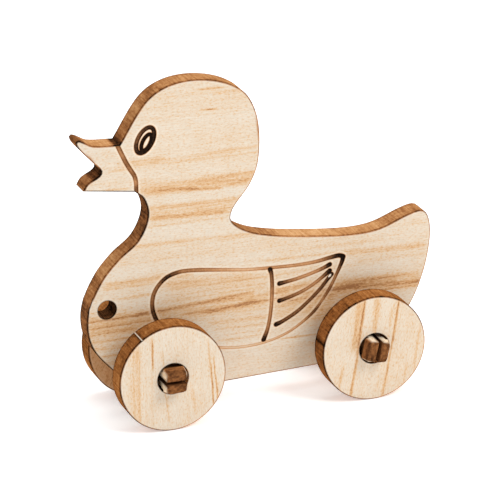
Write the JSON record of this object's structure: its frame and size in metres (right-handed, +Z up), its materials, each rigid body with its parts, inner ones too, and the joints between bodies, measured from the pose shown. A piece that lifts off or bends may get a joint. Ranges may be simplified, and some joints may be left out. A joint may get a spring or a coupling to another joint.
{
  "type": "pull along toy",
  "caption": "Flat wooden duck on round wooden wheels, with snap-in forked axles, spacer rings and a chest hole for a pull cord.",
  "frame": {"origin": "on the floor under the middle of the duck's length, in the middle plane of its board", "axes": "+Z up, beak towards -X, tail towards +X, axles along Y, the duck's left side towards -Y"},
  "size_m": [0.1626, 0.062, 0.1495],
  "materials": {
    "body_pine": "bare planed pine with engraved lines and scorched laser-cut edges",
    "wheel_pine": "bare planed pine with scorched laser-cut rims",
    "axle_pine": "bare pine, mostly scorched laser-cut edge",
    "spacer_pine": "bare planed pine with scorched laser-cut rims"
  },
  "bodies": {
    "duck": {"duck_body": "body_pine"},
    "front_axle": {"front_axle": "axle_pine"},
    "rear_axle": {"rear_axle": "axle_pine"},
    "front_left_wheel": {"front_left_wheel": "wheel_pine"},
    "front_left_spacer": {"front_left_spacer": "spacer_pine"},
    "front_right_wheel": {"front_right_wheel": "wheel_pine"},
    "front_right_spacer": {"front_right_spacer": "spacer_pine"},
    "rear_left_wheel": {"rear_left_wheel": "wheel_pine"},
    "rear_left_spacer": {"rear_left_spacer": "spacer_pine"},
    "rear_right_wheel": {"rear_right_wheel": "wheel_pine"},
    "rear_right_spacer": {"rear_right_spacer": "spacer_pine"}
  },
  "joints": [
    {"name": "front_axle_turn", "type": "hinge", "parent": "duck", "child": "front_axle", "pos_m": [-0.0463, 0, 0.024], "axis": [0, -1, 0], "continuous": true},
    {"name": "front_left_wheel_turn", "type": "hinge", "parent": "front_axle", "child": "front_left_wheel", "pos_m": [-0.0463, -0.0206, 0.024], "axis": [0, -1, 0], "continuous": true},
    {"name": "front_left_spacer_turn", "type": "hinge", "parent": "front_axle", "child": "front_left_spacer", "pos_m": [-0.0463, -0.0103, 0.024], "axis": [0, -1, 0], "continuous": true},
    {"name": "front_right_wheel_turn", "type": "hinge", "parent": "front_axle", "child": "front_right_wheel", "pos_m": [-0.0463, 0.0206, 0.024], "axis": [0, -1, 0], "continuous": true},
    {"name": "front_right_spacer_turn", "type": "hinge", "parent": "front_axle", "child": "front_right_spacer", "pos_m": [-0.0463, 0.0103, 0.024], "axis": [0, -1, 0], "continuous": true},
    {"name": "rear_axle_turn", "type": "hinge", "parent": "duck", "child": "rear_axle", "pos_m": [0.0467, 0, 0.024], "axis": [0, -1, 0], "continuous": true},
    {"name": "rear_left_wheel_turn", "type": "hinge", "parent": "rear_axle", "child": "rear_left_wheel", "pos_m": [0.0467, -0.0206, 0.024], "axis": [0, -1, 0], "continuous": true},
    {"name": "rear_left_spacer_turn", "type": "hinge", "parent": "rear_axle", "child": "rear_left_spacer", "pos_m": [0.0467, -0.0103, 0.024], "axis": [0, -1, 0], "continuous": true},
    {"name": "rear_right_wheel_turn", "type": "hinge", "parent": "rear_axle", "child": "rear_right_wheel", "pos_m": [0.0467, 0.0206, 0.024], "axis": [0, -1, 0], "continuous": true},
    {"name": "rear_right_spacer_turn", "type": "hinge", "parent": "rear_axle", "child": "rear_right_spacer", "pos_m": [0.0467, 0.0103, 0.024], "axis": [0, -1, 0], "continuous": true}
  ]
}
